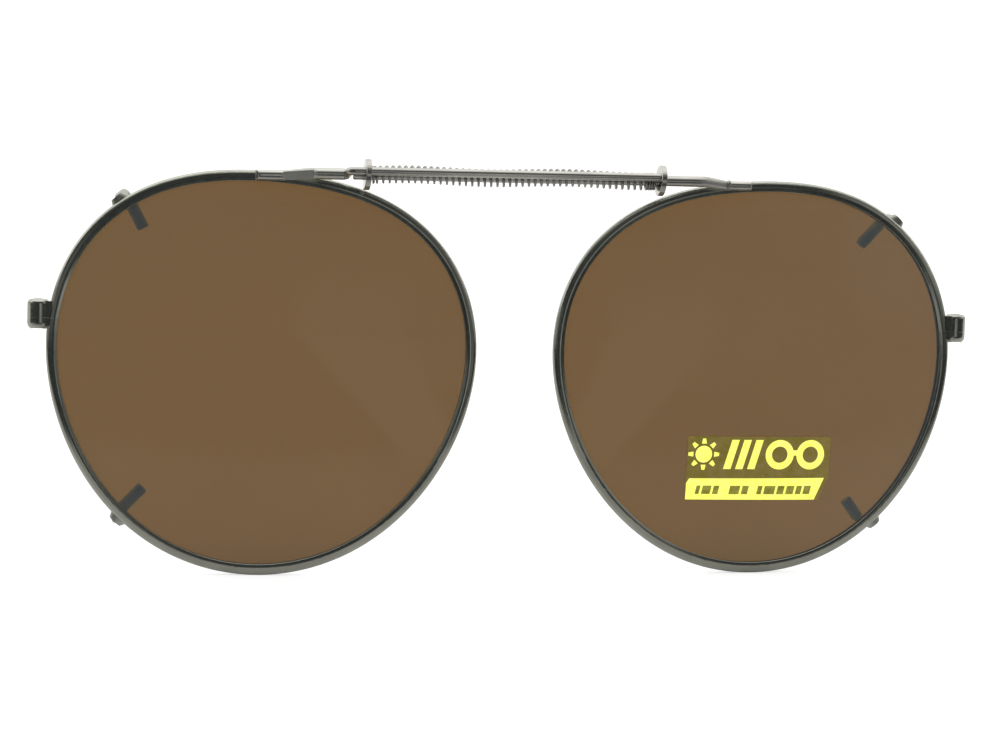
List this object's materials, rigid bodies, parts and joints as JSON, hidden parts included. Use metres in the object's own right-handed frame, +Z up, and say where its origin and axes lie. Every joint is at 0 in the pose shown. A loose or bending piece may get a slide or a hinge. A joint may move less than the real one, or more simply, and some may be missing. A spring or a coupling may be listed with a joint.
{
  "type": "clip-on sun lenses",
  "caption": "Round tinted clip-on sun lenses in thin metal rims, joined by a sprung telescopic bridge, with sleeved wire hooks that hold them on a pair of spectacles.",
  "frame": {"origin": "midway between the two lens centres, in the mean plane of the rims, where the spectacles' bridge sits behind the clip", "axes": "+X to the right seen from the front, +Y back towards the spectacles and the wearer, +Z up as worn"},
  "size_m": [0.1165, 0.0102, 0.0503],
  "materials": {
    "lens_tint": "brown tinted lens plastic, polished both sides",
    "rim_plating": "polished dark gunmetal plating",
    "bridge_plating": "polished pewter-coloured plating, lightly worn",
    "spring_steel": "drawn spring wire, plated",
    "screw_steel": "turned steel",
    "sleeve_rubber": "soft blue-grey silicone tubing that lets some light through, satin",
    "label_film": "thin printed film, yellow on olive"
  },
  "bodies": {
    "left_half": {"left_lens": "lens_tint", "left_rim": "rim_plating", "left_block_upper": "rim_plating", "left_block_lower": "rim_plating", "left_block_screw": "screw_steel", "left_upper_hook": "rim_plating", "left_upper_sleeve": "sleeve_rubber", "left_lower_hook": "rim_plating", "left_lower_sleeve": "sleeve_rubber", "left_arm": "bridge_plating", "left_rod": "bridge_plating", "right_disc": "bridge_plating", "bridge_spring": "spring_steel"},
    "right_half": {"right_lens": "lens_tint", "right_rim": "rim_plating", "right_block_upper": "rim_plating", "right_block_lower": "rim_plating", "right_block_screw": "screw_steel", "right_upper_hook": "rim_plating", "right_upper_sleeve": "sleeve_rubber", "right_lower_hook": "rim_plating", "right_lower_sleeve": "sleeve_rubber", "right_rod": "bridge_plating", "left_disc": "bridge_plating", "lens_label": "label_film"}
  },
  "joints": [
    {"name": "bridge_slide", "type": "slide", "parent": "left_half", "child": "right_half", "axis": [1, 0, 0], "range_m": [0, 0.015], "stiffness_N_per_m": 250, "springref_m": -0.001, "deforming": ["bridge_spring"]}
  ]
}
